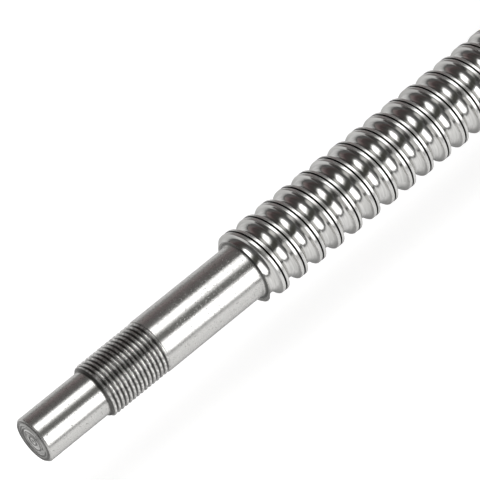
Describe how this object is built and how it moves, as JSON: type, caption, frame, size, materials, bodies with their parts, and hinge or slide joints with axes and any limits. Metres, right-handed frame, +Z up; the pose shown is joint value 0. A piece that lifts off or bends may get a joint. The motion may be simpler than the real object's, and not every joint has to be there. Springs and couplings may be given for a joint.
{
  "type": "ball screw assembly",
  "caption": "Polished ball screw with stepped and threaded machined ends, carrying a flanged recirculating-ball nut that travels along its helical thread.",
  "frame": {"origin": "on the screw's axis, at the ball thread's end of the bearing seat, where the 1.1 mm neck and fillet before the bearing shoulder begin", "axes": "+X along the screw from the bearing journal into the ball thread; +Z up, square to the nut flange's two flats"},
  "size_m": [0.25, 0.048, 0.04],
  "materials": {
    "polished_screw_steel": "rolled and polished bearing steel",
    "ground_nut_steel": "fine ground",
    "insert_steel": "sintered, satin",
    "ball_steel": "polished",
    "wiper_plastic": "moulded, matt black",
    "black_oxide_steel": "black oxide",
    "zinc_plated_steel": "zinc plated"
  },
  "bodies": {
    "screw": {"screw_shaft": "polished_screw_steel"},
    "wipers": {"wiper_ring_flange_end": "wiper_plastic", "wiper_ring_barrel_end": "wiper_plastic"},
    "nut": {"nut_body": "ground_nut_steel", "return_insert_1": "insert_steel", "return_insert_2": "insert_steel", "return_insert_3": "insert_steel", "ball_1_01": "ball_steel", "ball_1_02": "ball_steel", "ball_1_03": "ball_steel", "ball_1_04": "ball_steel", "ball_1_05": "ball_steel", "ball_1_06": "ball_steel", "ball_1_07": "ball_steel", "ball_1_08": "ball_steel", "ball_1_09": "ball_steel", "ball_1_10": "ball_steel", "ball_1_11": "ball_steel", "ball_1_12": "ball_steel", "ball_1_13": "ball_steel", "ball_1_14": "ball_steel", "ball_1_15": "ball_steel", "ball_1_16": "ball_steel", "ball_2_01": "ball_steel", "ball_2_02": "ball_steel", "ball_2_03": "ball_steel", "ball_2_04": "ball_steel", "ball_2_05": "ball_steel", "ball_2_06": "ball_steel", "ball_2_07": "ball_steel", "ball_2_08": "ball_steel", "ball_2_09": "ball_steel", "ball_2_10": "ball_steel", "ball_2_11": "ball_steel", "ball_2_12": "ball_steel", "ball_2_13": "ball_steel", "ball_2_14": "ball_steel", "ball_2_15": "ball_steel", "ball_2_16": "ball_steel", "ball_3_01": "ball_steel", "ball_3_02": "ball_steel", "ball_3_03": "ball_steel", "ball_3_04": "ball_steel", "ball_3_05": "ball_steel", "ball_3_06": "ball_steel", "ball_3_07": "ball_steel", "ball_3_08": "ball_steel", "ball_3_09": "ball_steel", "ball_3_10": "ball_steel", "ball_3_11": "ball_steel", "ball_3_12": "ball_steel", "ball_3_13": "ball_steel", "ball_3_14": "ball_steel", "ball_3_15": "ball_steel", "ball_3_16": "ball_steel", "set_screw_flange": "black_oxide_steel", "set_screw_barrel_1": "black_oxide_steel", "set_screw_barrel_2": "black_oxide_steel", "lube_plug": "zinc_plated_steel"}
  },
  "joints": [
    {"name": "nut_travel", "type": "slide", "parent": "screw", "child": "wipers", "axis": [1, 0, 0], "range_m": [-0.0962, 0.0428]},
    {"name": "nut_turn", "type": "hinge", "parent": "wipers", "child": "nut", "pos_m": [0, 0, 0], "axis": [1, 0, 0], "range_deg": [-6900, 3060]}
  ],
  "couplings": [
    {"joint": "nut_travel", "follows": "nut_turn", "m_per_rad": 0.00079577}
  ]
}
